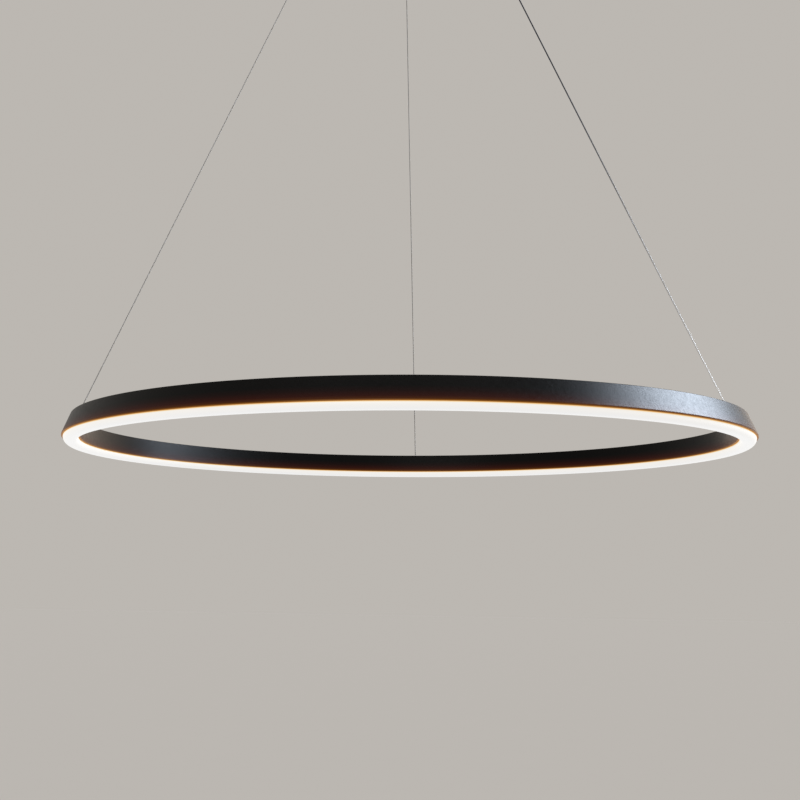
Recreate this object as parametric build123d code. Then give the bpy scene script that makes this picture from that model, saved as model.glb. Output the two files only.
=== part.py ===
from build123d import *
from math import atan, cos, degrees, radians, sin, sqrt, tan
import os

os.makedirs("parts", exist_ok=True)

# Ring light hung on three lines that converge to a round ceiling canopy.
# Millimetres, +Z up. The origin is the middle of the ceiling bracket's two
# screw slots, in the plane of the ceiling.

cut_over = 1.0  # how far a cutting solid runs past the face that it opens
bend_share = 0.45  # part of the shorter run beside a bend that its arc takes

# ---- Ring channel: aluminium profile rolled to a circle, open below ----
ring_diameter = 800.0  # across the lower outer edge
ring_drop = 800.0  # ceiling to the channel's lower edge
channel_height = 24.0
channel_foot = 21.5  # radial width at the lower edge
channel_head = 9.5  # radial width of the top face
outer_lean = 9.5  # how far the outer wall leans in towards the top
lip_height = 1.5  # upright edge under the leaning outer wall
channel_wall = 1.8  # both walls, measured radially
head_thickness = 1.6
edge_radius = 0.5
web_level = 11.0  # underside of the inner web, over the lower edge
web_thickness = 1.4
groove_level = 3.8  # snap grooves for the diffuser
groove_height = 1.6
groove_depth = 0.8

# ---- Opal diffuser pressed into the channel's mouth ----
diffuser_drop = 7.5  # how far it stands out below the channel
diffuser_wall = 1.6
diffuser_round = 6.5  # domes the part below the channel
diffuser_leg = 6.5  # how far its legs reach up into the channel
mouth_gap = 0.15
barb_gap = 0.2
barb_depth = 0.6

# ---- Continuous light strip under the web ----
strip_width = 10.0
strip_thickness = 0.4
strip_gap_angle = 1.2  # between the strip's two ends, at the feed
bead_width = 3.2
bead_height = 1.0
bead_setback = 1.0  # degrees from the strip's end to the bead's end

# ---- Suspension ----
line_azimuths = {"rear": 90.0, "left": 210.0, "right": 330.0}
line_diameters = {"rear": 1.0, "left": 1.0, "right": 1.5}
gripper_circle_radius = 60.0  # radius at which the lines leave the canopy
bend_length = 2.5  # leaning run of a line beside each bend
bend_rise = 0.5  # bend point off the face that the line leaves
tail_lengths = {"rear": 8.0, "left": 8.0, "right": 4.0}  # above the gripper

# ---- Anchor bushes in the channel's top ----
bush_radius = 2.6
bush_gap = 0.06
bush_flange_radius = 2.9
bush_flange_height = 1.2
bush_bore_gap = 0.4
bush_mouth = 0.4
stop_radius = 2.0
stop_gap = 0.15

# ---- Feed to the strip, inside the channel ----
feed_angle = 3.0  # from the right anchor to the feed block
feed_block = (10.0, 5.0, 6.0)  # along the ring, radially, height
feed_slot = (6.0, 4.4)  # along the ring, radially
slot_distance = 14.8  # from the block's middle to the slot's
core_diameter = 1.1
core_pitch = 2.0
core_run_length = 3.3  # first run of the cores, out from under the stop
pad_run_length = 7.5  # leads past the slot's middle, under the strip

# ---- Canopy ----
canopy_diameter = 180.0
canopy_height = 42.0
canopy_wall = 1.2
canopy_floor = 1.5
canopy_corner = 3.0
hole_gap = 0.1

# ---- Ceiling bracket ----
bracket_width = 28.0
bracket_thickness = 2.0
bracket_gap = 0.3  # from the tabs' corners to the canopy's wall
tab_height = 14.0
bracket_bend = 2.5
slot_spacing = 70.0
slot_width = 5.2
slot_length = 18.0
cable_hole_radius = 6.0
side_screw_level = 8.0  # below the ceiling
side_screw_radius = 2.0
side_screw_length = 9.0
side_head_radius = 3.6
side_head_height = 2.0
side_head_chamfer = 0.8
screw_gap = 0.05
screw_clearance = 0.2
socket_width = 2.5
socket_depth = 1.2

# ---- Line grippers ----
collar_radius = 7.0
collar_height = 3.0
barrel_radius = 5.0
sleeve_radius = 4.7
sleeve_height = 22.0
cap_radius = 3.9
cap_height = 2.0
chamber_radius = 3.4
cone_foot = 2.0  # over the canopy's underside
cone_height = 9.0
throat_radius = 2.15
guide_depth = 1.0  # top of the nozzle's guide, below the canopy's underside
nozzle_length = 12.0  # below the canopy's underside
nozzle_radius = 3.0
nozzle_taper = 1.2
guide_gap = 0.06
release_travel = 2.5
release_margin = 0.5
neck_radius = 1.9
neck_socket = 4.0  # how far the ball cage reaches into the nozzle
line_gap = 0.25
ball_radius = 0.9
ball_gap = 0.04
pocket_gap = 0.08
cage_height = 5.2  # over the cone's foot
spring_seat_height = 1.2
spring_seat_radius = 2.5
spring_wire = 0.6
spring_radius = 1.9  # to the middle of the wire
spring_turns = 4
nut_flats = 14.0
nut_height = 3.5

# ---- Driver ----
driver_size = (110.0, 34.0, 21.0)
driver_centre_y = 24.0
driver_corner = 2.0
driver_edge = 0.8
seam_level = 15.0  # joint of the driver's base and lid
seam_height = 0.6
seam_depth = 0.5
lug_length = 8.0
lug_width = 18.0
lug_thickness = 2.0
stud_radius = 1.5
stud_height = 6.0
stud_nut_flats = 5.5
stud_nut_height = 2.4

# ---- Terminal block, earth and leads ----
block_size = (28.0, 20.0, 8.5)  # the poles' towers stand on it
block_edge = 0.6
block_centre_y = -34.0
pole_pitch = 8.5
tower_radius = 3.6
tower_top = 13.0  # over the block's foot
tower_setback = 5.0  # each pole's two screws from the block's middle line
well_radius = 2.2
well_depth = 6.0
terminal_screw_radius = 2.0
terminal_screw_height = 3.0
slit_width = 0.6
slit_depth = 0.6
lead_diameter = 2.2
lead_level = 5.0  # over the canopy's floor
lead_end_length = 6.0  # straight at each end of a lead
lead_arch = 6.0
earth_inset = 26.0  # from the canopy's edge
earth_y = -4.0
earth_stud_radius = 2.0
earth_stud_height = 7.0
earth_nut_flats = 7.0
earth_nut_height = 3.2
tongue_radius = 4.2
tongue_thickness = 0.8
ferrule_radius = 1.7
ferrule_length = 6.0  # past the tongue's eye
crimp_radius = 2.0
crimp_length = 8.0
crimp_lift = 1.0  # over the gripper
output_inset = 15.0  # from the driver's end
output_level = 10.5  # over the canopy's floor
output_crest = 5.5  # below the ceiling
output_turn = 11.0  # from the driver's side to the upright run

canopy_underside = -canopy_height
floor_z = canopy_underside + canopy_floor
foot_z = -ring_drop
head_z = foot_z + channel_height
outer_radius = ring_diameter / 2
inner_radius = outer_radius - channel_foot
head_outer_radius = outer_radius - outer_lean
head_inner_radius = head_outer_radius - channel_head
anchor_radius = (head_outer_radius + head_inner_radius) / 2


def turned(points, arc=360.0, start=0.0):
    """Solid turned about Z from a closed outline of (radius, height) points."""
    outline = Polyline(*[(r, 0, z) for r, z in points], close=True)
    return Rot(0, 0, start) * revolve(make_face(outline), Axis.Z, arc)


def around(azimuth, radius, z=0.0):
    """A point by azimuth in degrees, radius and height."""
    a = radians(azimuth)
    return Vector(radius * cos(a), radius * sin(a), z)


def tube(points, diameter):
    """Round line along straight runs joined by the widest easy arcs."""
    points = [Vector(*p) for p in points]
    if len(points) == 2:
        path = Line(*points)
    else:
        radii = []
        for a, b, c in zip(points, points[1:], points[2:]):
            turn = radians((b - a).get_angle(c - b))
            shorter = min((b - a).length, (c - b).length)
            radii.append(bend_share * shorter / tan(turn / 2))
        path = FilletPolyline(*points, radius=radii)
    section = Plane(origin=path @ 0, z_dir=path % 0) * Circle(diameter / 2)
    return sweep(section, path=path)


def upright(radius, height):
    return Cylinder(radius, height, align=(Align.CENTER, Align.CENTER, Align.MIN))


def standing(length, width, height):
    return Box(length, width, height, align=(Align.CENTER, Align.CENTER, Align.MIN))


def hexagon(flats, height):
    return extrude(RegularPolygon(flats / 2, 6, major_radius=False), height)


def nut(flats, height, bore):
    return hexagon(flats, height) - upright(bore, height)


def save(name, shape):
    export_step(shape, f"parts/{name}.step")


# ---------------------------------------------------------------- ring channel
def outer_wall(level):
    """Radius of the outer wall's inner face at a height over the lower edge."""
    lean = max(0.0, level - lip_height) * outer_lean / (channel_height - lip_height)
    return outer_radius - channel_wall - lean


def inner_wall(level):
    """Radius of the inner wall's inner face at a height over the lower edge."""
    lean = level * (head_inner_radius - inner_radius) / channel_height
    return inner_radius + channel_wall + lean


def lifted(points):
    return [(r, foot_z + z) for r, z in points]


web_top = web_level + web_thickness
raceway_top = channel_height - head_thickness
skin = lifted([
    (inner_radius, 0),
    (outer_radius, 0),
    (outer_radius, lip_height),
    (head_outer_radius, channel_height),
    (head_inner_radius, channel_height),
])
mouth = lifted([
    (inner_wall(0), -cut_over),
    (outer_wall(0), -cut_over),
    (outer_wall(0), lip_height),
    (outer_wall(web_level), web_level),
    (inner_wall(web_level), web_level),
    (inner_wall(0), 0),
])
raceway = lifted([
    (inner_wall(web_top), web_top),
    (outer_wall(web_top), web_top),
    (outer_wall(raceway_top), raceway_top),
    (inner_wall(raceway_top), raceway_top),
])
groove_top = groove_level + groove_height
grooves = lifted([
    (inner_wall(groove_level) - groove_depth, groove_level),
    (outer_wall(groove_level) + groove_depth, groove_level),
    (outer_wall(groove_top) + groove_depth, groove_top),
    (inner_wall(groove_top) - groove_depth, groove_top),
])
ring_housing = turned(skin) - turned(mouth) - turned(raceway) - turned(grooves)
head_edges = ring_housing.edges().filter_by(GeomType.CIRCLE).group_by(Axis.Z)[-1]
ring_housing = fillet(head_edges, edge_radius)
for azimuth in line_azimuths.values():
    drill = upright(bush_radius + bush_gap, head_thickness + 2 * cut_over)
    ring_housing -= Pos(*around(azimuth, anchor_radius, foot_z + raceway_top - cut_over)) * drill
# Local frame of the feed: x along the ring, y inwards, z up from the web's top.
feed_azimuth = line_azimuths["right"] + feed_angle
feed_place = Pos(*around(feed_azimuth, anchor_radius, foot_z + web_top)) * Rot(0, 0, feed_azimuth + 90)
slot = Box(*feed_slot, web_thickness + cut_over)
ring_housing -= feed_place * Pos(slot_distance, 0, -web_thickness / 2) * slot
save("ring_housing", ring_housing)

# -------------------------------------------------------------------- diffuser
barb_foot = groove_level + barb_gap
barb_top = groove_top - barb_gap
legs_out = outer_wall(diffuser_leg) - mouth_gap
legs_in = inner_wall(diffuser_leg) + mouth_gap
face_out = outer_wall(0) - mouth_gap
face_in = inner_wall(0) + mouth_gap
opal = lifted([
    (face_in, -diffuser_drop),
    (face_out, -diffuser_drop),
    (face_out, lip_height),
    (outer_wall(barb_foot) - mouth_gap, barb_foot),
    (outer_wall(barb_foot) + barb_depth, barb_foot),
    (outer_wall(barb_top) - mouth_gap, barb_top),
    (legs_out, diffuser_leg),
    (legs_in, diffuser_leg),
    (inner_wall(barb_top) + mouth_gap, barb_top),
    (inner_wall(barb_foot) - barb_depth, barb_foot),
    (inner_wall(barb_foot) + mouth_gap, barb_foot),
    (face_in, 0),
])
light_chamber = lifted([
    (face_in + diffuser_wall, -diffuser_drop + diffuser_wall),
    (face_out - diffuser_wall, -diffuser_drop + diffuser_wall),
    (face_out - diffuser_wall, lip_height),
    (legs_out - diffuser_wall, diffuser_leg),
    (legs_out - diffuser_wall, diffuser_leg + cut_over),
    (legs_in + diffuser_wall, diffuser_leg + cut_over),
    (legs_in + diffuser_wall, diffuser_leg),
    (face_in + diffuser_wall, 0),
])
diffuser = turned(opal)
low_edges = diffuser.edges().filter_by(GeomType.CIRCLE).group_by(Axis.Z)[0]
diffuser = fillet(low_edges, diffuser_round)
chamber = turned(light_chamber)
low_edges = chamber.edges().filter_by(GeomType.CIRCLE).group_by(Axis.Z)[0]
diffuser -= fillet(low_edges, diffuser_round - diffuser_wall)
save("diffuser", diffuser)

# ----------------------------------------------------------------- light strip
strip_radius = (outer_wall(web_level) + inner_wall(web_level)) / 2
strip_start = feed_azimuth + degrees(atan(slot_distance / anchor_radius)) + strip_gap_angle / 2
strip_arc = 360.0 - strip_gap_angle
strip_foot = web_level - strip_thickness
strip = turned(
    lifted([
        (strip_radius - strip_width / 2, strip_foot),
        (strip_radius + strip_width / 2, strip_foot),
        (strip_radius + strip_width / 2, web_level),
        (strip_radius - strip_width / 2, web_level),
    ]),
    strip_arc,
    strip_start,
)
save("light_strip", strip)
bead = turned(
    lifted([
        (strip_radius - bead_width / 2, strip_foot),
        (strip_radius - bead_width / 4, strip_foot - bead_height),
        (strip_radius + bead_width / 4, strip_foot - bead_height),
        (strip_radius + bead_width / 2, strip_foot),
    ]),
    strip_arc - 2 * bead_setback,
    strip_start + bead_setback,
)
save("phosphor_bead", bead)

# ------------------------------------------------- bushes, stops and the lines
nozzle_z = canopy_underside - nozzle_length
upper_bend = (gripper_circle_radius, nozzle_z - bend_rise)
lower_bend = (anchor_radius, head_z + bend_rise)
run_r = lower_bend[0] - upper_bend[0]
run_z = lower_bend[1] - upper_bend[1]
run_length = sqrt(run_r**2 + run_z**2)
lean_r = run_r / run_length
lean_z = run_z / run_length
line_start = (upper_bend[0] + bend_length * lean_r, upper_bend[1] + bend_length * lean_z)
line_end = (lower_bend[0] - bend_length * lean_r, lower_bend[1] - bend_length * lean_z)
bush_foot = -head_thickness - bush_flange_height
line_names = {
    "rear": "suspension_wire_rear",
    "left": "suspension_wire_left",
    "right": "power_suspension_cable",
}
stop_z = {}
for side, azimuth in line_azimuths.items():
    line_diameter = line_diameters[side]
    bore = line_diameter / 2 + bush_bore_gap
    bush = turned([
        (bore, bush_foot),
        (bush_flange_radius, bush_foot),
        (bush_flange_radius, -head_thickness),
        (bush_radius, -head_thickness),
        (bush_radius, 0),
        (bore + bush_mouth, 0),
        (bore, -bush_mouth),
    ])
    save(f"anchor_bush_{side}", Pos(*around(azimuth, anchor_radius, head_z)) * bush)

    stop_depth = -bush_foot + sqrt((stop_radius + stop_gap) ** 2 - bore**2)
    stop_z[side] = head_z - stop_depth
    stub = tube(
        [
            around(azimuth, anchor_radius, stop_z[side]),
            around(azimuth, *lower_bend),
            around(azimuth, *line_end),
        ],
        line_diameter,
    )
    ball = Pos(*around(azimuth, anchor_radius, stop_z[side])) * Sphere(stop_radius)
    save(f"line_stop_{side}", ball + stub)

    line = tube([around(azimuth, *line_start), around(azimuth, *line_end)], line_diameter)
    save(line_names[side], line)

# ------------------------------------------------------ feed inside the channel
feed_connector = standing(*feed_block)
feed_connector = chamfer(feed_connector.edges().group_by(Axis.Z)[-1], edge_radius)
save("feed_connector", feed_place * feed_connector)

core_level = feed_block[2] / 2
block_end = feed_block[0] / 2
pad_level = -web_thickness - strip_thickness - core_diameter / 2
stop_x = -anchor_radius * sin(radians(feed_angle))
stop_y = -anchor_radius * (1 - cos(radians(feed_angle)))
stop_foot = stop_z["right"] - stop_radius - (foot_z + web_top)
strip_leads = []
cable_cores = []
for side in (-0.5, 0.5):
    y = side * core_pitch
    lead = [
        (block_end, y, core_level),
        (slot_distance, y, core_level),
        (slot_distance, y, pad_level),
        (slot_distance + pad_run_length, y, pad_level),
    ]
    core = [
        (stop_x, stop_y + y, stop_foot),
        (stop_x, stop_y + y, core_level),
        (stop_x + core_run_length, y, core_level),
        (-block_end, y, core_level),
    ]
    strip_leads.append(tube(lead, core_diameter))
    cable_cores.append(tube(core, core_diameter))
save("strip_leads", feed_place * Compound(strip_leads))
save("cable_cores", feed_place * Compound(cable_cores))

# ---------------------------------------------------------------------- canopy
canopy_radius = canopy_diameter / 2
canopy = upright(canopy_radius, canopy_height)
canopy = fillet(canopy.edges().group_by(Axis.Z)[0], canopy_corner)
inside = upright(canopy_radius - canopy_wall, canopy_height)
inside = fillet(inside.edges().group_by(Axis.Z)[0], canopy_corner - canopy_wall)
canopy = Pos(0, 0, canopy_underside) * (canopy - Pos(0, 0, canopy_floor) * inside)
gripper_places = {
    side: Pos(*around(azimuth, gripper_circle_radius, canopy_underside))
    for side, azimuth in line_azimuths.items()
}
for place in gripper_places.values():
    drill = upright(sleeve_radius + hole_gap, canopy_floor + 2 * cut_over)
    canopy -= place * Pos(0, 0, -cut_over) * drill
drill = Cylinder(side_screw_radius + screw_clearance, canopy_diameter + 2 * cut_over)
canopy -= Pos(0, 0, -side_screw_level) * Rot(0, 90, 0) * drill
save("canopy_cup", canopy)

# -------------------------------------------------------------- ceiling bracket
half_width = bracket_width / 2
tab_face = sqrt((canopy_radius - canopy_wall - bracket_gap) ** 2 - half_width**2)
bracket = Box(2 * tab_face, bracket_width, tab_height, align=(Align.CENTER, Align.CENTER, Align.MAX))
bracket = fillet(bracket.edges().filter_by(Axis.Y).group_by(Axis.Z)[-1], bracket_bend)
below = Box(
    2 * (tab_face - bracket_thickness),
    bracket_width + 2 * cut_over,
    tab_height,
    align=(Align.CENTER, Align.CENTER, Align.MAX),
)
below = fillet(below.edges().filter_by(Axis.Y).group_by(Axis.Z)[-1], bracket_bend - bracket_thickness)
bracket -= Pos(0, 0, -bracket_thickness) * below
for side in (-0.5, 0.5):
    slot = extrude(SlotOverall(slot_length, slot_width), bracket_thickness)
    bracket -= Pos(side * slot_spacing, 0, -bracket_thickness) * slot
bracket -= Pos(0, 0, -bracket_thickness) * upright(cable_hole_radius, bracket_thickness)
drill = Cylinder(side_screw_radius + screw_gap, canopy_diameter)
bracket -= Pos(0, 0, -side_screw_level) * Rot(0, 90, 0) * drill
save("ceiling_bracket", bracket)

screw_head = upright(side_head_radius, side_head_height)
screw_head = chamfer(screw_head.edges().group_by(Axis.Z)[-1], side_head_chamfer)
socket = Pos(0, 0, side_head_height - socket_depth) * hexagon(socket_width, socket_depth)
side_screw = screw_head - socket + Pos(0, 0, -side_screw_length) * upright(
    side_screw_radius, side_screw_length
)
side_screws = [
    Pos(side * canopy_radius, 0, -side_screw_level) * Rot(0, side * 90, 0) * side_screw
    for side in (-1, 1)
]
save("side_screws", Compound(side_screws))

# --------------------------------------------------------------- line grippers
barrel_end = release_travel + release_margin - nozzle_length
shoulder = -guide_depth - release_travel - release_margin
guide_radius = nozzle_radius + guide_gap
seat_foot = cone_foot + cage_height
seat_top = seat_foot + spring_seat_height
cap_foot = sleeve_height - cap_height
cone_slope = (chamber_radius - throat_radius) / cone_height
gripper_body = turned([
    (guide_radius, barrel_end),
    (barrel_radius, barrel_end),
    (barrel_radius, -collar_height),
    (collar_radius, -collar_height),
    (collar_radius, 0),
    (sleeve_radius, 0),
    (sleeve_radius, sleeve_height),
    (cap_radius + guide_gap, sleeve_height),
    (cap_radius + guide_gap, cap_foot),
    (chamber_radius, cap_foot),
    (chamber_radius, cone_foot + cone_height),
    (throat_radius, cone_foot),
    (throat_radius, -guide_depth),
    (guide_radius, -guide_depth),
])
gripper_nut = Pos(0, 0, canopy_floor) * nut(nut_flats, nut_height, sleeve_radius + screw_gap)
save("gripper_nuts", Compound([place * gripper_nut for place in gripper_places.values()]))

coil_height = cap_foot - seat_top - spring_wire
coil = Helix(coil_height / spring_turns, coil_height, spring_radius)
wire = Plane(origin=coil @ 0, z_dir=coil % 0) * RegularPolygon(spring_wire / 2, 8)
spring = Pos(0, 0, seat_top + spring_wire / 2) * sweep(wire, path=coil, is_frenet=True)

caps = []
for side, place in gripper_places.items():
    line_radius = line_diameters[side] / 2
    bore = line_radius + line_gap
    save(f"gripper_body_{side}", place * gripper_body)
    caps.append(place * Pos(0, 0, cap_foot) * (upright(cap_radius, cap_height) - upright(bore, cap_height)))

    nozzle = turned([
        (bore, -nozzle_length),
        (nozzle_radius - nozzle_taper, -nozzle_length),
        (nozzle_radius, nozzle_taper - nozzle_length),
        (nozzle_radius, shoulder),
        (neck_radius + screw_gap, shoulder),
        (neck_radius + screw_gap, shoulder - neck_socket),
        (bore, shoulder - neck_socket),
    ])
    save(f"release_nozzle_{side}", place * nozzle)

    ball_reach = line_radius + ball_radius + ball_gap
    cone_reach = ball_reach + (ball_radius + ball_gap) * sqrt(1 + cone_slope**2)
    ball_level = cone_foot + (cone_reach - throat_radius) / cone_slope
    cage = turned([
        (bore, shoulder - neck_socket),
        (neck_radius, shoulder - neck_socket),
        (neck_radius, seat_foot),
        (spring_seat_radius, seat_foot),
        (spring_seat_radius, seat_top),
        (bore, seat_top),
    ])
    balls = []
    for turn in (0, 120, 240):
        pocket = Rot(0, 90, 0) * upright(ball_radius + pocket_gap, chamber_radius)
        cage -= Rot(0, 0, turn) * Pos(0, 0, ball_level) * pocket
        balls.append(place * Pos(*around(turn, ball_reach, ball_level)) * Sphere(ball_radius))
    save(f"ball_cage_{side}", place * cage)
    save(f"wedge_balls_{side}", Compound(balls))
    save(f"gripper_spring_{side}", place * spring)

    azimuth = line_azimuths[side]
    tail_top = canopy_underside + sleeve_height + tail_lengths[side]
    tail = [
        around(azimuth, gripper_circle_radius, tail_top),
        around(azimuth, *upper_bend),
        around(azimuth, *line_start),
    ]
    save(f"line_tail_{side}", tube(tail, line_diameters[side]))
save("gripper_caps", Compound(caps))

# ---------------------------------------------------------------------- driver
driver = standing(*driver_size)
driver = fillet(driver.edges().filter_by(Axis.Z), driver_corner)
driver = chamfer(driver.edges().group_by(Axis.Z)[-1], driver_edge)
seam = standing(driver_size[0], driver_size[1], seam_height)
core = standing(driver_size[0] - 2 * seam_depth, driver_size[1] - 2 * seam_depth, seam_height)
core = fillet(core.edges().filter_by(Axis.Z), driver_corner - seam_depth)
driver -= Pos(0, 0, seam_level) * (seam - core)
lug_x = driver_size[0] / 2 + lug_length / 2
for side in (-1, 1):
    lug = standing(lug_length + driver_corner, lug_width, lug_thickness)
    driver += Pos(side * (lug_x - driver_corner / 2), 0, 0) * lug
    driver -= Pos(side * lug_x, 0, 0) * upright(stud_radius + screw_clearance, lug_thickness)
save("led_driver", Pos(0, driver_centre_y, floor_z) * driver)
studs = []
nuts = []
for side in (-1, 1):
    place = Pos(side * lug_x, driver_centre_y, floor_z)
    studs.append(place * upright(stud_radius, stud_height))
    lug_nut = nut(stud_nut_flats, stud_nut_height, stud_radius + screw_gap)
    nuts.append(place * Pos(0, 0, lug_thickness) * lug_nut)
save("driver_studs", Compound(studs))
save("driver_nuts", Compound(nuts))

# -------------------------------------------------------- terminal block, earth
block = standing(*block_size)
block = chamfer(block.edges().group_by(Axis.Z)[-1], block_edge)
terminal_screws = []
block_place = Pos(0, block_centre_y, floor_z)
screw = upright(terminal_screw_radius, terminal_screw_height)
screw -= Pos(0, 0, terminal_screw_height) * Box(2 * well_radius, slit_width, 2 * slit_depth)
for pole in (-1, 0, 1):
    for side in (-1, 1):
        place = Pos(pole * pole_pitch, side * tower_setback, 0)
        well_foot = place * Pos(0, 0, tower_top - well_depth)
        block += place * upright(tower_radius, tower_top)
        block -= well_foot * upright(well_radius, well_depth)
        terminal_screws.append(block_place * well_foot * screw)
save("terminal_block", block_place * block)
save("terminal_screws", Compound(terminal_screws))

earth_x = canopy_radius - earth_inset
earth_spot = Pos(earth_x, earth_y, floor_z)
save("earth_stud", earth_spot * upright(earth_stud_radius, earth_stud_height))
earth_nut = nut(earth_nut_flats, earth_nut_height, earth_stud_radius + screw_gap)
save("earth_nut", earth_spot * Pos(0, 0, tongue_thickness) * earth_nut)
ferrule_reach = tongue_radius + ferrule_length
ferrule_start = earth_nut_flats / sqrt(3) + hole_gap
ring_terminal = upright(tongue_radius, tongue_thickness)
ring_terminal -= upright(earth_stud_radius + screw_gap, tongue_thickness)
ferrule = Rot(0, -90, 0) * upright(ferrule_radius, ferrule_reach - ferrule_start)
ring_terminal += Pos(-ferrule_start, 0, ferrule_radius) * ferrule
neck = standing(ferrule_reach - ferrule_start, ferrule_radius, tongue_thickness)
ring_terminal += Pos(-(ferrule_reach + ferrule_start) / 2, 0, 0) * neck
save("ring_terminal", earth_spot * ring_terminal)

# ----------------------------------------------------------------------- leads
block_face = block_centre_y + block_size[1] / 2
driver_face = driver_centre_y - driver_size[1] / 2
level = floor_z + lead_level
middle = (block_face + driver_face) / 2
for name, pole in {"live_lead": -1, "neutral_lead": 0}.items():
    x = pole * pole_pitch
    lead = [
        (x, block_face, level),
        (x, block_face + lead_end_length, level),
        (x, middle, level + lead_arch),
        (x, driver_face - lead_end_length, level),
        (x, driver_face, level),
    ]
    save(name, tube(lead, lead_diameter))
ferrule_mouth = earth_x - ferrule_reach
ferrule_level = floor_z + ferrule_radius
earth_lead = [
    (pole_pitch, block_face, level),
    (pole_pitch, block_face + lead_end_length, level),
    (2 * pole_pitch, middle, level),
    (ferrule_mouth - 2 * lead_end_length, earth_y, ferrule_level),
    (ferrule_mouth, earth_y, ferrule_level),
]
save("earth_lead", tube(earth_lead, lead_diameter))

power_x, power_y, _ = around(line_azimuths["right"], gripper_circle_radius)
crimp_foot = canopy_underside + sleeve_height + crimp_lift
joint_z = canopy_underside + sleeve_height + tail_lengths["right"]
crimp = upright(crimp_radius, crimp_length)
crimp -= upright(line_diameters["right"] / 2 + screw_gap, crimp_length)
crimp_hole = upright(lead_diameter / 2 + screw_gap, crimp_length)
crimp -= Pos(0, 0, joint_z - crimp_foot) * crimp_hole
save("crimp_sleeve", Pos(power_x, power_y, crimp_foot) * crimp)
output_x = driver_size[0] / 2 - output_inset
output_y = driver_face - output_turn
output_lead = [
    (power_x, power_y, joint_z),
    (power_x, power_y, -output_crest),
    (output_x, output_y, -output_crest),
    (output_x, output_y, floor_z + output_level),
    (output_x, driver_face, floor_z + output_level),
]
save("output_lead", tube(output_lead, lead_diameter))
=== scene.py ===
import bmesh
import bpy
from math import cos, pi, radians, sin
from mathutils import Matrix, Vector


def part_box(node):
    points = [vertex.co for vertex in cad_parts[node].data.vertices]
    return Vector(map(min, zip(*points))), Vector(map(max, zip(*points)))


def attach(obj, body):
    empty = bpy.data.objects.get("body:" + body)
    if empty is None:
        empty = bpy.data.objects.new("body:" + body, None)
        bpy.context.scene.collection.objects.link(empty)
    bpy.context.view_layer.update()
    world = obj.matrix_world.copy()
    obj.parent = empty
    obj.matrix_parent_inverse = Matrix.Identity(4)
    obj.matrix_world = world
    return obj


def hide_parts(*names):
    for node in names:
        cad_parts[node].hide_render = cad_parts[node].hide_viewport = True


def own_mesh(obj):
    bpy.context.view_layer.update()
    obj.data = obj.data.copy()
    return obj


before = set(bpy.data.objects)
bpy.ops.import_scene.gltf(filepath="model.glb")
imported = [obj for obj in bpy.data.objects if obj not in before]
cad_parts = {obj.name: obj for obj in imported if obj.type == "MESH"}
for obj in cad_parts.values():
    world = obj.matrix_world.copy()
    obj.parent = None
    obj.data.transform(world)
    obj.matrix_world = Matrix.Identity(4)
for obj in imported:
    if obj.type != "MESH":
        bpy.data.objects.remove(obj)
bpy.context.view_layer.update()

scene = bpy.context.scene

# ---------------------------------------------------------------- camera
# The photographer stands a little below the ring and in front of it, and
# the picture is cut from a wider frame, so the lens looks past its middle.
camera_data = bpy.data.cameras.new("camera")
camera_data.lens = 55.149
camera_data.sensor_width = 36
camera_data.shift_x = 0.125
camera = bpy.data.objects.new("camera", camera_data)
camera.location = (0.07761, -1.46139, -0.94795)
camera.rotation_euler = (1.70836, -0.01235, 0.13497)
scene.collection.objects.link(camera)
scene.camera = camera


# ----------------------------------------------------- suspension lines
# Two bare twisted steel wires and one sheathed cable with a steel core,
# which also feeds the light. Weight holds all three straight between the
# canopy's grippers and the bushes in the ring's top.
def finish_of(name, colour, roughness, metallic=0.0):
    """A new material with its plain values on its shader's own sockets."""
    finish = bpy.data.materials.new(name)
    finish.use_nodes = True
    nodes = finish.node_tree.nodes
    shader = nodes["Principled BSDF"]
    shader.inputs["Base Color"].default_value = (*colour, 1)
    shader.inputs["Roughness"].default_value = roughness
    shader.inputs["Metallic"].default_value = metallic
    return finish, nodes, finish.node_tree.links, shader


def mottled(finish_parts, scale, dark, light, rough_low, rough_high, stretch=(1, 1, 1)):
    """Lets colour and roughness wander between two values over the surface."""
    _, nodes, links, shader = finish_parts
    place = nodes.new("ShaderNodeTexCoord")
    turn = nodes.new("ShaderNodeMapping")
    turn.inputs["Scale"].default_value = stretch
    noise = nodes.new("ShaderNodeTexNoise")
    noise.inputs["Scale"].default_value = scale
    noise.inputs["Detail"].default_value = 4
    tone = nodes.new("ShaderNodeMix")
    tone.data_type = "RGBA"
    tone.inputs["A"].default_value = (*dark, 1)
    tone.inputs["B"].default_value = (*light, 1)
    gloss = nodes.new("ShaderNodeMapRange")
    gloss.inputs["To Min"].default_value = rough_low
    gloss.inputs["To Max"].default_value = rough_high
    links.new(place.outputs["Object"], turn.inputs["Vector"])
    links.new(turn.outputs["Vector"], noise.inputs["Vector"])
    links.new(noise.outputs["Fac"], tone.inputs["Factor"])
    links.new(noise.outputs["Fac"], gloss.inputs["Value"])
    links.new(tone.outputs["Result"], shader.inputs["Base Color"])
    links.new(gloss.outputs["Result"], shader.inputs["Roughness"])
    return turn


def grained(finish_parts, turn, scale, strength, distance):
    """Adds a fine bump that shares the mapping of the colour."""
    _, nodes, links, shader = finish_parts
    grain = nodes.new("ShaderNodeTexNoise")
    grain.inputs["Scale"].default_value = scale
    grain.inputs["Detail"].default_value = 5
    bump = nodes.new("ShaderNodeBump")
    bump.inputs["Strength"].default_value = strength
    bump.inputs["Distance"].default_value = distance
    links.new(turn.outputs["Vector"], grain.inputs["Vector"])
    links.new(grain.outputs["Fac"], bump.inputs["Height"])
    links.new(bump.outputs["Normal"], shader.inputs["Normal"])


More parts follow.
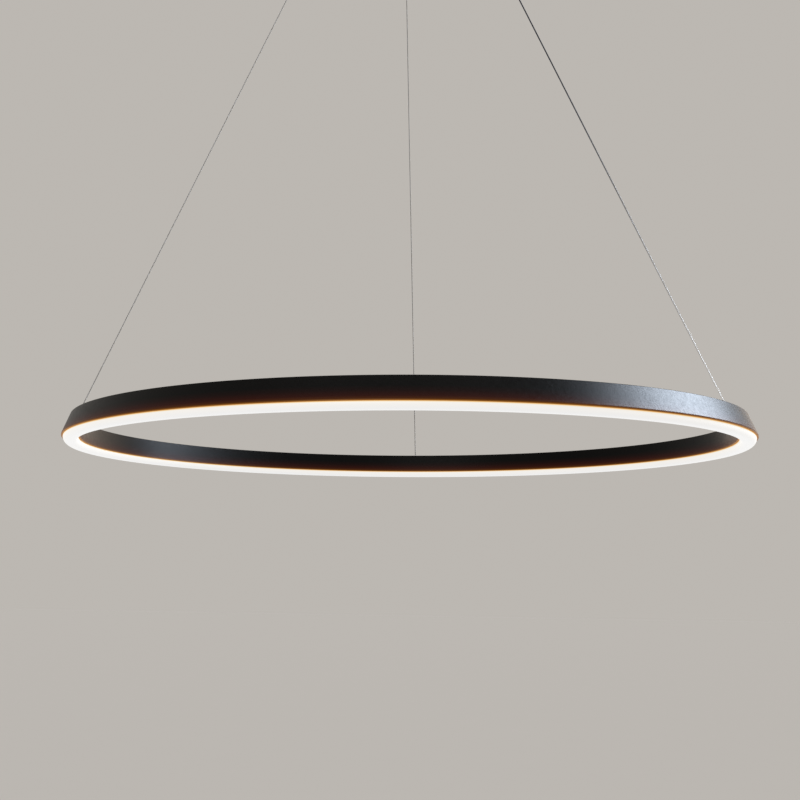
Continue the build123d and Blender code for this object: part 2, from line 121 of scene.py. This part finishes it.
def piece_of(name, mesh, body, finish, *nodes):
    """Links a mesh as a piece that rides on a body and stands for CAD nodes."""
    mesh.materials.clear()
    mesh.materials.append(finish)
    piece = bpy.data.objects.new(name, mesh)
    scene.collection.objects.link(piece)
    for face in mesh.polygons:
        face.use_smooth = True
    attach(piece, body)
    if nodes:
        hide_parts(*nodes)
    return piece


def drawn(points, section=None, turns=0.0, steps=24):
    """Mesh of a smooth line through a route, bare or with a section swept along it."""
    curve = bpy.data.curves.new("route", "CURVE")
    curve.dimensions = "3D"
    spline = curve.splines.new("NURBS")
    spline.points.add(len(points) - 1)
    for number, point in enumerate(points):
        spline.points[number].co = (*point, 1)
        spline.points[number].tilt = 2 * pi * turns * number / (len(points) - 1)
    spline.order_u = 3
    spline.use_endpoint_u = True
    spline.resolution_u = steps
    if section:
        curve.bevel_mode = "OBJECT"
        curve.bevel_object = section
        curve.use_fill_caps = True
    route = bpy.data.objects.new("route", curve)
    scene.collection.objects.link(route)
    mesh = bpy.data.meshes.new_from_object(route.evaluated_get(bpy.context.evaluated_depsgraph_get()))
    bpy.data.objects.remove(route)
    bpy.data.curves.remove(curve)
    return mesh


def section_of(name, radius, corners, hollow=0.0):
    """Closed outline of a line's section: a circle whose every other corner is drawn in."""
    outline = bpy.data.curves.new(name, "CURVE")
    outline.dimensions = "2D"
    ring = outline.splines.new("POLY")
    ring.points.add(corners - 1)
    for corner in range(corners):
        reach = radius - hollow * (corner % 2)
        a = 2 * pi * corner / corners
        ring.points[corner].co = (reach * cos(a), reach * sin(a), 0, 1)
    ring.use_cyclic_u = True
    shape = bpy.data.objects.new(name, outline)
    scene.collection.objects.link(shape)
    return shape


strand_section = section_of("strand_section", 0.0005, 12, 0.00011)
cable_section = section_of("cable_section", 0.00075, 16)
sides = {"rear": 90, "left": 210, "right": 330}
gripper_circle = 0.060
nozzle_side = (0.0586, -0.0513)
line_head = (0.061029, -0.056778)
line_foot = (0.384721, -0.773222)
line_length = 0.7921
strand_lay = 0.0085

steel_finish = finish_of("twisted_steel", (0.24, 0.23, 0.22), 0.6, 0.4)
mottled(steel_finish, 900, (0.22, 0.21, 0.2), (0.3, 0.29, 0.28), 0.55, 0.65)
cable_finish = finish_of("grey_sheath", (0.05, 0.055, 0.07), 0.55)
cable_turn = mottled(cable_finish, 300, (0.03, 0.034, 0.046), (0.045, 0.05, 0.064), 0.5, 0.6)
grained(cable_finish, cable_turn, 2600, 0.06, 0.00005)

# Towards the ring the sheath's colour is mixed ever paler by height, a painted highlight that stands in for
# the light of the ring and the lamps on it; above, it keeps its own dark grey.
_, nodes, links, shader = cable_finish
shader.inputs["Specular IOR Level"].default_value = 0.1
split = nodes.new("ShaderNodeSeparateXYZ")
level = nodes.new("ShaderNodeMapRange")
level.inputs["From Min"].default_value = -0.27
level.inputs["From Max"].default_value = -0.773
# Share of painted highlight by height, from none above to most at the ring.
painted_highlight_ramp = nodes.new("ShaderNodeValToRGB")
painted_highlight_ramp.color_ramp.elements[0].position = 0.15
painted_highlight_ramp.color_ramp.elements[0].color = (0, 0, 0, 1)
painted_highlight_ramp.color_ramp.elements[1].position = 1.0
painted_highlight_ramp.color_ramp.elements[1].color = (1, 1, 1, 1)
for position, share in ((0.34, 0.06), (0.5, 0.2), (0.6, 0.38), (0.82, 0.66), (0.92, 0.86)):
    painted_highlight_ramp.color_ramp.elements.new(position).color = (share, share, share, 1)
# Mixes the painted highlight into the sheath's own colour.
clear = nodes.new("ShaderNodeMix")
clear.data_type = "RGBA"
clear.inputs["B"].default_value = (0.88, 0.88, 0.88, 1)
tone = shader.inputs["Base Color"].links[0].from_socket
links.new(cable_turn.outputs["Vector"], split.inputs["Vector"])
links.new(split.outputs["Z"], level.inputs["Value"])
links.new(level.outputs["Result"], painted_highlight_ramp.inputs["Fac"])
links.new(painted_highlight_ramp.outputs["Color"], clear.inputs["Factor"])
links.new(tone, clear.inputs["A"])
links.new(clear.outputs["Result"], shader.inputs["Base Color"])


def round_the_axis(azimuth, radius, height):
    """The point at an angle round the upright axis, a radius and a height."""
    a = radians(azimuth)
    return (radius * cos(a), radius * sin(a), height)


def between(azimuth, upper, lower, share):
    """The point that lies a share of the way down a straight line."""
    radius = upper[0] + share * (lower[0] - upper[0])
    return round_the_axis(azimuth, radius, upper[1] + share * (lower[1] - upper[1]))


line_pieces = {
    "rear": ("suspension_wire_rear", "steel_wire_rear", strand_section, steel_finish[0], 0.0010),
    "left": ("suspension_wire_left", "steel_wire_left", strand_section, steel_finish[0], 0.0010),
    "right": ("power_suspension_cable", "power_cable", cable_section, cable_finish[0], 0.0015),
}
for side, (node, name, section, finish, diameter) in line_pieces.items():
    azimuth = sides[side]
    route = [between(azimuth, nozzle_side, line_foot, share) for share in (0, 0.25, 0.5, 0.75, 1)]
    turns = line_length / strand_lay if section is strand_section else 0
    line_mesh = drawn(route, section, turns, 330 if turns else 12)
    line = piece_of(name, line_mesh, "suspension", finish, node)
    centreline = [vertex.co[:] for vertex in drawn(route).vertices]
    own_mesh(line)


# ---------------------------------------------------------- line ends
# Above, each line runs straight up through its gripper and stands out a
# little inside the canopy. Below, it turns upright into its bush and ends
# in a swaged ball, which carries the ring from inside the channel.
anchor_circle = 0.38575
tail_tops = {"rear": -0.012, "left": -0.012, "right": -0.016}
stop_heights = {"rear": -0.780733, "left": -0.780733, "right": -0.780616}
stop_radius = 0.002
for side, azimuth in sides.items():
    section, finish = line_pieces[side][2:4]
    twisted = section is strand_section
    tail_heights = (tail_tops[side], -0.030, -0.0535, -0.0545)
    tail_route = [round_the_axis(azimuth, gripper_circle, height) for height in tail_heights]
    tail_route.append(round_the_axis(azimuth, *line_head))
    tail_mesh = drawn(tail_route, section, 5 if twisted else 0, 24)
    piece_of("line_tail_piece_" + side, tail_mesh, "canopy", finish, "line_tail_" + side)

    stub_heights = (stop_heights[side], -0.7765, -0.7755)
    stub_route = [round_the_axis(azimuth, anchor_circle, height) for height in stub_heights]
    stub_route.append(round_the_axis(azimuth, *line_foot))
    stub_mesh = drawn(stub_route, section, 1 if twisted else 0, 12)
    ball = bmesh.new()
    ball.from_mesh(stub_mesh)
    swage = bmesh.ops.create_uvsphere(ball, u_segments=24, v_segments=12, radius=stop_radius)
    bmesh.ops.translate(ball, verts=swage["verts"], vec=stub_route[0])
    ball.to_mesh(stub_mesh)
    ball.free()
    piece_of("line_stop_piece_" + side, stub_mesh, "ring", finish, "line_stop_" + side)
bpy.data.objects.remove(strand_section)
bpy.data.objects.remove(cable_section)


# -------------------------------------------------------- ring channel
# One aluminium profile rolled to a circle, with a leaning outer wall, a
# flat top and a snap groove in each wall. It is coated in matt black
# powder, whose fine texture catches the light at a low angle.
def spun(outline, closed=True, steps=512, rounding=()):
    """Mesh turned about the upright axis from an outline of (radius, height)
    points in millimetres; rounding gives (first point, radius) of eased corners."""
    work = bmesh.new()
    corners = [work.verts.new((r / 1000, 0, z / 1000)) for r, z in outline]
    for one, two in zip(corners, corners[1:]):
        work.edges.new((one, two))
    if closed:
        work.edges.new((corners[-1], corners[0]))
    for number, radius in rounding:
        bmesh.ops.bevel(
            work,
            geom=[corners[number]],
            offset=radius / 1000,
            offset_type="OFFSET",
            affect="VERTICES",
            segments=max(4, round(2 * radius)),
            profile=0.5,
            material=-1,
        )
    bmesh.ops.spin(
        work,
        geom=work.verts[:] + work.edges[:],
        cent=(0, 0, 0),
        axis=(0, 0, 1),
        angle=2 * pi,
        steps=steps,
        use_merge=True,
    )
    bmesh.ops.remove_doubles(work, verts=work.verts, dist=1e-7)
    bmesh.ops.recalc_face_normals(work, faces=work.faces)
    mesh = bpy.data.meshes.new("turned")
    work.to_mesh(mesh)
    work.free()
    return mesh


def moved(mesh, x=0.0, y=0.0, z=0.0):
    """Shifts a mesh bodily, so that its object can stay at the origin."""
    mesh.transform(Matrix.Translation((x, y, z)))
    return mesh


def eased(piece):
    """Keeps wide flats flat in the shading beside narrow rounded edges."""
    weights = piece.modifiers.new("flats", "WEIGHTED_NORMAL")
    weights.weight = 100
    weights.keep_sharp = True


ring_foot = -0.800
channel_outline = [
    (378.5, 0),
    (381.0, 24.0),
    (390.5, 24.0),
    (400.0, 1.5),
    (400.0, 0),
    (398.2, 0),
    (398.2, 1.5),
    (397.229, 3.8),
    (398.029, 3.8),
    (397.353, 5.4),
    (396.553, 5.4),
    (394.189, 11.0),
    (381.446, 11.0),
    (380.863, 5.4),
    (380.063, 5.4),
    (379.896, 3.8),
    (380.696, 3.8),
    (380.3, 0),
]
coat_finish = finish_of("black_powder_coat", (0.006, 0.006, 0.006), 0.42)
coat_turn = mottled(coat_finish, 260, (0.005, 0.005, 0.005), (0.008, 0.0076, 0.0072), 0.36, 0.48)
grained(coat_finish, coat_turn, 700, 0.5, 0.0001)
coat_finish[3].inputs["Specular IOR Level"].default_value = 0.25

# The ring's own coat also carries a painted warm glow, emitted over its lowest few millimetres, which stands
# in for the light that the diffuser's edge spills there.
ring_coat = finish_of("ring_powder_coat", (0.002, 0.002, 0.002), 0.35)
ring_turn = mottled(ring_coat, 260, (0.0016, 0.0016, 0.0016), (0.0026, 0.0024, 0.0022), 0.26, 0.42)
grained(ring_coat, ring_turn, 560, 0.8, 0.0001)
coat, nodes, links, shader = ring_coat
shader.inputs["Specular IOR Level"].default_value = 0.09
split = nodes.new("ShaderNodeSeparateXYZ")
level = nodes.new("ShaderNodeMapRange")
level.inputs["From Min"].default_value = ring_foot
level.inputs["From Max"].default_value = ring_foot + 0.014
# Painted glow colours, strongest at the ring's foot and gone 14 mm up.
painted_glow_ramp = nodes.new("ShaderNodeValToRGB")
painted_glow_ramp.color_ramp.elements[0].position = 0.0
painted_glow_ramp.color_ramp.elements[0].color = (0.25, 0.09, 0.008, 1)
painted_glow_ramp.color_ramp.elements[1].position = 1.0
painted_glow_ramp.color_ramp.elements[1].color = (0, 0, 0, 1)
painted_glow_tones = {0.1: (0.053, 0.012, 0.0005), 0.3: (0.022, 0.0022, 0.0002), 0.65: (0.006, 0.0003, 0)}
for position, colour in painted_glow_tones.items():
    painted_glow_ramp.color_ramp.elements.new(position).color = (*colour, 1)
links.new(ring_turn.outputs["Vector"], split.inputs["Vector"])
links.new(split.outputs["Z"], level.inputs["Value"])
links.new(level.outputs["Result"], painted_glow_ramp.inputs["Fac"])
links.new(painted_glow_ramp.outputs["Color"], shader.inputs["Emission Color"])
shader.inputs["Emission Strength"].default_value = 1.0
channel_mesh = spun(channel_outline, rounding=((1, 0.5), (2, 0.5), (3, 0.4), (0, 0.3), (4, 0.25)))
moved(channel_mesh, z=ring_foot)
eased(piece_of("ring_channel", channel_mesh, "ring", coat, "ring_housing"))

# ------------------------------------------------------------ diffuser
# An opal acrylic trough snapped into the channel's mouth. Below the channel
# it is domed, and it glows evenly, with a thin warm line along the lips,
# where the light passes through more of the plastic.
diffuser_outline = [
    (380.45, -7.5),
    (398.05, -7.5),
    (398.05, 1.5),
    (396.994, 4.0),
    (397.744, 4.0),
    (396.487, 5.2),
    (395.939, 6.5),
    (394.339, 6.5),
    (396.45, 1.5),
    (396.45, -5.9),
    (382.05, -5.9),
    (382.05, 0),
    (382.727, 6.5),
    (381.127, 6.5),
    (380.992, 5.2),
    (380.117, 4.0),
    (380.867, 4.0),
    (380.45, 0),
]
opal_finish = finish_of("opal_acrylic", (0.14, 0.14, 0.14), 0.4)
opal, nodes, links, shader = opal_finish
mottled(opal_finish, 90, (0.13, 0.13, 0.13), (0.15, 0.15, 0.15), 0.36, 0.46)
place = nodes.new("ShaderNodeTexCoord")
split = nodes.new("ShaderNodeSeparateXYZ")
level = nodes.new("ShaderNodeMapRange")
level.inputs["From Min"].default_value = ring_foot - 0.0075
level.inputs["From Max"].default_value = ring_foot
glow = nodes.new("ShaderNodeValToRGB")
glow.color_ramp.elements[0].position = 0.0
glow.color_ramp.elements[0].color = (0.78, 0.78, 0.78, 1)
glow.color_ramp.elements[1].position = 1.0
glow.color_ramp.elements[1].color = (0.55, 0.19, 0.015, 1)
for position, colour in ((0.82, (0.82, 0.79, 0.74)), (0.93, (0.84, 0.58, 0.22))):
    glow.color_ramp.elements.new(position).color = (*colour, 1)
links.new(place.outputs["Object"], split.inputs["Vector"])
links.new(split.outputs["Z"], level.inputs["Value"])
links.new(level.outputs["Result"], glow.inputs["Fac"])
links.new(glow.outputs["Color"], shader.inputs["Emission Color"])
shader.inputs["Emission Strength"].default_value = 1.0
diffuser_mesh = spun(diffuser_outline, rounding=((0, 6.5), (1, 6.5), (9, 4.9), (10, 4.9)))
moved(diffuser_mesh, z=ring_foot)
eased(piece_of("opal_diffuser", diffuser_mesh, "ring", opal, "diffuser"))

# ------------------------------------------------- light strip and feed
# A white flexible board runs right round under the channel's web, with a
# bead of yellow phosphor silicone over its chips. The cable's two cores
# reach it through a small plastic block and a slot in the web.
def dressed(finish, *nodes):
    """Gives CAD nodes that stay a better material."""
    for node in nodes:
        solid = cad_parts[node]
        solid.data.materials.clear()
        solid.data.materials.append(finish)


board_finish = finish_of("white_board", (0.86, 0.86, 0.85), 0.45)
mottled(board_finish, 400, (0.82, 0.82, 0.81), (0.9, 0.9, 0.89), 0.4, 0.5)
dressed(board_finish[0], "light_strip")
phosphor_finish = finish_of("phosphor_silicone", (0.9, 0.72, 0.2), 0.5)
mottled(phosphor_finish, 500, (0.86, 0.66, 0.16), (0.92, 0.76, 0.26), 0.45, 0.6)
phosphor_finish[3].inputs["Emission Color"].default_value = (1.0, 0.8, 0.45, 1)
phosphor_finish[3].inputs["Emission Strength"].default_value = 1.0
dressed(phosphor_finish[0], "phosphor_bead")
moulding_finish = finish_of("white_moulding", (0.82, 0.82, 0.8), 0.4)
mottled(moulding_finish, 220, (0.78, 0.78, 0.76), (0.85, 0.85, 0.83), 0.34, 0.46)
dressed(moulding_finish[0], "feed_connector")
core_finish = finish_of("core_insulation", (0.72, 0.72, 0.71), 0.4)
mottled(core_finish, 500, (0.66, 0.66, 0.65), (0.76, 0.76, 0.75), 0.36, 0.5)
core_section = section_of("core_section", 0.00055, 12)
feed_angle = 333
feed_turn = Matrix.Rotation(radians(feed_angle + 90), 4, "Z")
feed_middle = round_the_axis(feed_angle, anchor_circle, ring_foot + 0.0124)
feed_place = Matrix.Translation(feed_middle) @ feed_turn
feed_routes = {
    "strip_leads": [(0.005, 0, 0.003), (0.0148, 0, 0.003), (0.0148, 0, -0.00235), (0.0223, 0, -0.00235)],
    "cable_cores": [
        (-0.02019, -0.00053, 0.005), (-0.02019, -0.00053, 0.003), (-0.0169, 0, 0.003), (-0.005, 0, 0.003),
    ],
}
for node, route in feed_routes.items():
    pair = bmesh.new()
    for side in (-0.001, 0.001):
        pair.from_mesh(drawn([(x, y + side, z) for x, y, z in route], core_section))
    pair_mesh = bpy.data.meshes.new(node)
    pair.to_mesh(pair_mesh)
    pair.free()
    pair_mesh.transform(feed_place)
    piece_of(node + "_piece", pair_mesh, "ring", core_finish[0], node)
bpy.data.objects.remove(core_section)
bush_finish = finish_of("black_bush", (0.012, 0.012, 0.012), 0.35)
mottled(bush_finish, 700, (0.009, 0.009, 0.009), (0.016, 0.016, 0.016), 0.3, 0.45)
dressed(bush_finish[0], "anchor_bush_rear", "anchor_bush_left", "anchor_bush_right")

# ---------------------------------------------------------- canopy cup
# A deep-drawn steel cup, open to the ceiling and coated like the ring.
canopy_foot = -0.042
canopy_outline = [
    (0, 1000 * canopy_foot),
    (90.0, 1000 * canopy_foot),
    (90.0, 0),
    (88.8, 0),
    (88.8, -40.5),
    (0, -40.5),
]
canopy_mesh = spun(canopy_outline, closed=False, steps=256, rounding=((1, 3.0), (4, 1.8)))
eased(piece_of("canopy_shell", canopy_mesh, "canopy", coat_finish[0], "canopy_cup"))

# ------------------------------------------------------ ceiling bracket
# A folded bar of zinc-plated steel. Two slots take the ceiling screws, the
# hole between them the supply cable, and a screw through each side of the
# cup goes into its turned-down ends.
zinc_finish = finish_of("zinc_plate", (0.48, 0.49, 0.5), 0.45, 1.0)
zinc_turn = mottled(zinc_finish, 120, (0.4, 0.41, 0.42), (0.56, 0.57, 0.58), 0.38, 0.54, (1, 3, 1))
grained(zinc_finish, zinc_turn, 900, 0.12, 0.0001)
dressed(zinc_finish[0], "ceiling_bracket")
screw_finish = finish_of("blackened_screw", (0.02, 0.02, 0.02), 0.38)
mottled(screw_finish, 500, (0.015, 0.015, 0.015), (0.03, 0.03, 0.03), 0.3, 0.46)
dressed(screw_finish[0], "side_screws")

# --------------------------------------------------------- line grippers
# Turned steel bodies, blackened, held in the cup's floor by a hexagon nut.
# Three balls in a brass cage wedge each line in a cone. Pressing the nozzle
# up lifts the cage against its spring and lets the line run.
barrel_finish = finish_of("blackened_steel", (0.01, 0.01, 0.01), 0.34)
barrel_turn = mottled(barrel_finish, 600, (0.008, 0.008, 0.008), (0.016, 0.016, 0.016), 0.28, 0.42)
grained(barrel_finish, barrel_turn, 2400, 0.15, 0.0001)
barrel_outline = [
    (3.06, -9.0),
    (5.0, -9.0),
    (5.0, -3.0),
    (7.0, -3.0),
    (7.0, 0),
    (4.7, 0),
    (4.7, 22.0),
    (3.96, 22.0),
    (3.96, 20.0),
    (3.4, 20.0),
    (3.4, 11.0),
    (2.15, 2.0),
    (2.15, -1.0),
    (3.06, -1.0),
]
for side, azimuth in sides.items():
    bore = 1.0 if side == "right" else 0.75
    nozzle_outline = [
        (bore, -12.0),
        (1.8, -12.0),
        (3.0, -10.8),
        (3.0, -4.0),
        (1.95, -4.0),
        (1.95, -8.0),
        (bore, -8.0),
    ]
    place = round_the_axis(azimuth, gripper_circle, canopy_foot)
    barrel_mesh = spun(barrel_outline, steps=96, rounding=((1, 0.4), (3, 0.5), (0, 0.2), (4, 0.2)))
    moved(barrel_mesh, *place)
    name, node = "gripper_barrel_" + side, "gripper_body_" + side
    eased(piece_of(name, barrel_mesh, "canopy", barrel_finish[0], node))
    nozzle_mesh = spun(nozzle_outline, steps=96, rounding=((1, 0.3), (2, 0.3), (0, 0.15), (3, 0.3)))
    moved(nozzle_mesh, *place)
    body, node = "release_" + side, "release_nozzle_" + side
    eased(piece_of("gripper_nozzle_" + side, nozzle_mesh, body, barrel_finish[0], node))
brass_finish = finish_of("turned_brass", (0.72, 0.52, 0.24), 0.3, 1.0)
mottled(brass_finish, 800, (0.62, 0.44, 0.2), (0.78, 0.6, 0.3), 0.24, 0.4)
dressed(brass_finish[0], "ball_cage_rear", "ball_cage_left", "ball_cage_right", "gripper_caps")
bright_finish = finish_of("bright_spring_steel", (0.6, 0.6, 0.6), 0.22, 1.0)
mottled(bright_finish, 900, (0.52, 0.52, 0.53), (0.68, 0.68, 0.69), 0.16, 0.3)
dressed(bright_finish[0], "wedge_balls_rear", "wedge_balls_left", "wedge_balls_right")
dressed(zinc_finish[0], "gripper_nuts")

# ------------------------------------------------------- gripper springs
# Four turns of round spring steel between each gripper's cap and the collar
# of its ball cage. The cage shortens the spring as the nozzle is pressed.
wire_radius = 0.0003
coil_radius = 0.0019
coil_turns = 4
for side, azimuth in sides.items():
    low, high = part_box("gripper_spring_" + side)
    x, y, top = round_the_axis(azimuth, gripper_circle, high[2])
    length = top - low[2]
    coil = bmesh.new()
    wire_start = Matrix.Translation((x + coil_radius, y, low[2] + wire_radius))
    upright = wire_start @ Matrix.Rotation(pi / 2, 4, "X")
    bmesh.ops.create_circle(coil, segments=10, radius=wire_radius, matrix=upright)
    steps = 24 * coil_turns
    bmesh.ops.spin(
        coil,
        geom=coil.verts[:] + coil.edges[:],
        cent=(x, y, 0),
        axis=(0, 0, 1),
        dvec=(0, 0, (length - 2 * wire_radius) / steps),
        angle=2 * pi * coil_turns,
        steps=steps,
    )
    bmesh.ops.holes_fill(coil, edges=[edge for edge in coil.edges if edge.is_boundary])
    bmesh.ops.recalc_face_normals(coil, faces=coil.faces)
    coil_mesh = bpy.data.meshes.new("coil")
    coil.to_mesh(coil_mesh)
    coil.free()
    spring = piece_of("spring_coil_" + side, coil_mesh, "canopy", bright_finish[0], "gripper_spring_" + side)
    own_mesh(spring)

# ---------------------------------------------------------------- driver
# A white moulded case on two lugs, nutted to studs on the cup's floor. The
# lid's seam runs round it a third of the way down.
case_finish = finish_of("white_driver_case", (0.8, 0.8, 0.79), 0.42)
case_turn = mottled(case_finish, 160, (0.77, 0.77, 0.76), (0.82, 0.82, 0.81), 0.38, 0.48)
grained(case_finish, case_turn, 1800, 0.2, 0.0001)
dressed(case_finish[0], "led_driver")
dressed(zinc_finish[0], "driver_studs", "driver_nuts", "earth_stud", "earth_nut")
dressed(zinc_finish[0], "ring_terminal", "crimp_sleeve")
dressed(moulding_finish[0], "terminal_block")
dressed(zinc_finish[0], "terminal_screws")

# ----------------------------------------------------------------- leads
# Single insulated copper leads: brown and blue feed the driver, green goes
# to the earth stud, and a dark grey one runs from the driver to the crimp
# on the power cable.
lead_section = section_of("lead_section", 0.0011, 16)
lead_routes = {
    "live_lead": ((0.13, 0.055, 0.025), [
        (-0.0085, -0.024, -0.0355), (-0.0085, -0.018, -0.0355), (-0.0085, -0.0085, -0.0295),
        (-0.0085, 0.001, -0.0355), (-0.0085, 0.007, -0.0355),
    ]),
    "neutral_lead": ((0.03, 0.12, 0.45), [
        (0, -0.024, -0.0355), (0, -0.018, -0.0355), (0, -0.0085, -0.0295),
        (0, 0.001, -0.0355), (0, 0.007, -0.0355),
    ]),
    "earth_lead": ((0.16, 0.42, 0.06), [
        (0.0085, -0.024, -0.0355), (0.0085, -0.018, -0.0355), (0.017, -0.0085, -0.0355),
        (0.0418, -0.004, -0.0388), (0.0538, -0.004, -0.0388),
    ]),
    "output_lead": ((0.05, 0.05, 0.055), [
        (0.05196, -0.030, -0.016), (0.05196, -0.030, -0.0055), (0.040, -0.004, -0.0055),
        (0.040, -0.004, -0.030), (0.040, 0.007, -0.030),
    ]),
}
for node, (colour, route) in lead_routes.items():
    lead_finish = finish_of(node + "_insulation", colour, 0.38)
    paler = tuple(min(1, tone * 1.15 + 0.01) for tone in colour)
    lead_turn = mottled(lead_finish, 350, colour, paler, 0.32, 0.46)
    grained(lead_finish, lead_turn, 2200, 0.1, 0.0001)
    piece_of(node + "_piece", drawn(route, lead_section, steps=16), "canopy", lead_finish[0], node)
bpy.data.objects.remove(lead_section)

# ------------------------------------------------------ light and floor
# A plain soft studio: a pale floor far below and a backdrop of the same tone,
# a cool window strip high on the right, aimed at the ring, a dim warm light
# behind, and two soft ones above and in front.
floor_level = -2.4
floor = bmesh.new()
bmesh.ops.create_grid(floor, x_segments=1, y_segments=1, size=40)
floor_mesh = bpy.data.meshes.new("floor")
floor.to_mesh(floor_mesh)
floor.free()
floor_piece = bpy.data.objects.new("floor", moved(floor_mesh, z=floor_level))
scene.collection.objects.link(floor_piece)
floor_finish = finish_of("pale_floor", (0.25, 0.24, 0.23), 0.9)
mottled(floor_finish, 3, (0.245, 0.235, 0.225), (0.255, 0.245, 0.235), 0.88, 0.92)
nodes, links = floor_finish[1], floor_finish[2]
seen = nodes.new("ShaderNodeLightPath")
haze = nodes.new("ShaderNodeEmission")
haze.inputs["Color"].default_value = (0.347, 0.333, 0.315, 1)
both = nodes.new("ShaderNodeAddShader")
shown = seen.outputs["Is Camera Ray"]
for ray in ("Is Glossy Ray", "Is Transmission Ray"):
    either = nodes.new("ShaderNodeMath")
    either.operation = "MAXIMUM"
    links.new(shown, either.inputs[0])
    links.new(seen.outputs[ray], either.inputs[1])
    shown = either.outputs["Value"]
links.new(shown, haze.inputs["Strength"])
links.new(floor_finish[3].outputs["BSDF"], both.inputs[0])
links.new(haze.outputs["Emission"], both.inputs[1])
links.new(both.outputs["Shader"], nodes["Material Output"].inputs["Surface"])
floor_mesh.materials.append(floor_finish[0])

world = bpy.data.worlds.new("studio")
scene.world = world
world.use_nodes = True
nodes, links = world.node_tree.nodes, world.node_tree.links
background = nodes["Background"]
background.inputs["Strength"].default_value = 1.0
background.inputs["Color"].default_value = (0.503, 0.477, 0.444, 1)


def soft_light(name, place, aim, size, power, colour, roll=0, spread=180):
    """A rectangular lamp at a place, aimed at a point and hidden from the camera."""
    lamp = bpy.data.lights.new(name, "AREA")
    lamp.shape = "RECTANGLE"
    lamp.size, lamp.size_y = size
    lamp.energy = power
    lamp.spread = radians(spread)
    lamp.color = colour
    holder = bpy.data.objects.new(name, lamp)
    holder.location = place
    facing = (Vector(aim) - Vector(place)).to_track_quat("-Z", "Y").to_matrix()
    holder.rotation_euler = (facing @ Matrix.Rotation(radians(roll), 3, "Z")).to_euler()
    holder.visible_camera = False
    scene.collection.objects.link(holder)


window_place, window_aim, cool = (2.25, 0.42, 0.5), (0.33, -0.21, -0.79), (0.76, 0.86, 1.0)
soft_light("window_right", window_place, window_aim, (2.6, 0.7), 21, cool, roll=-25, spread=54)
soft_light("wall_rear", (0.6, 2.6, -0.3), (0, 0, -0.8), (2.4, 1.0), 8, (1.0, 0.78, 0.6))
soft_light("above", (0.0, -0.4, 1.6), (0, 0, -0.6), (2.4, 2.4), 20, (1, 1, 1))
soft_light("front", (-0.6, -3.0, -0.6), (0, 0, -0.5), (1.8, 1.4), 20, (1, 0.98, 0.95))

scene.view_settings.view_transform = "Standard"
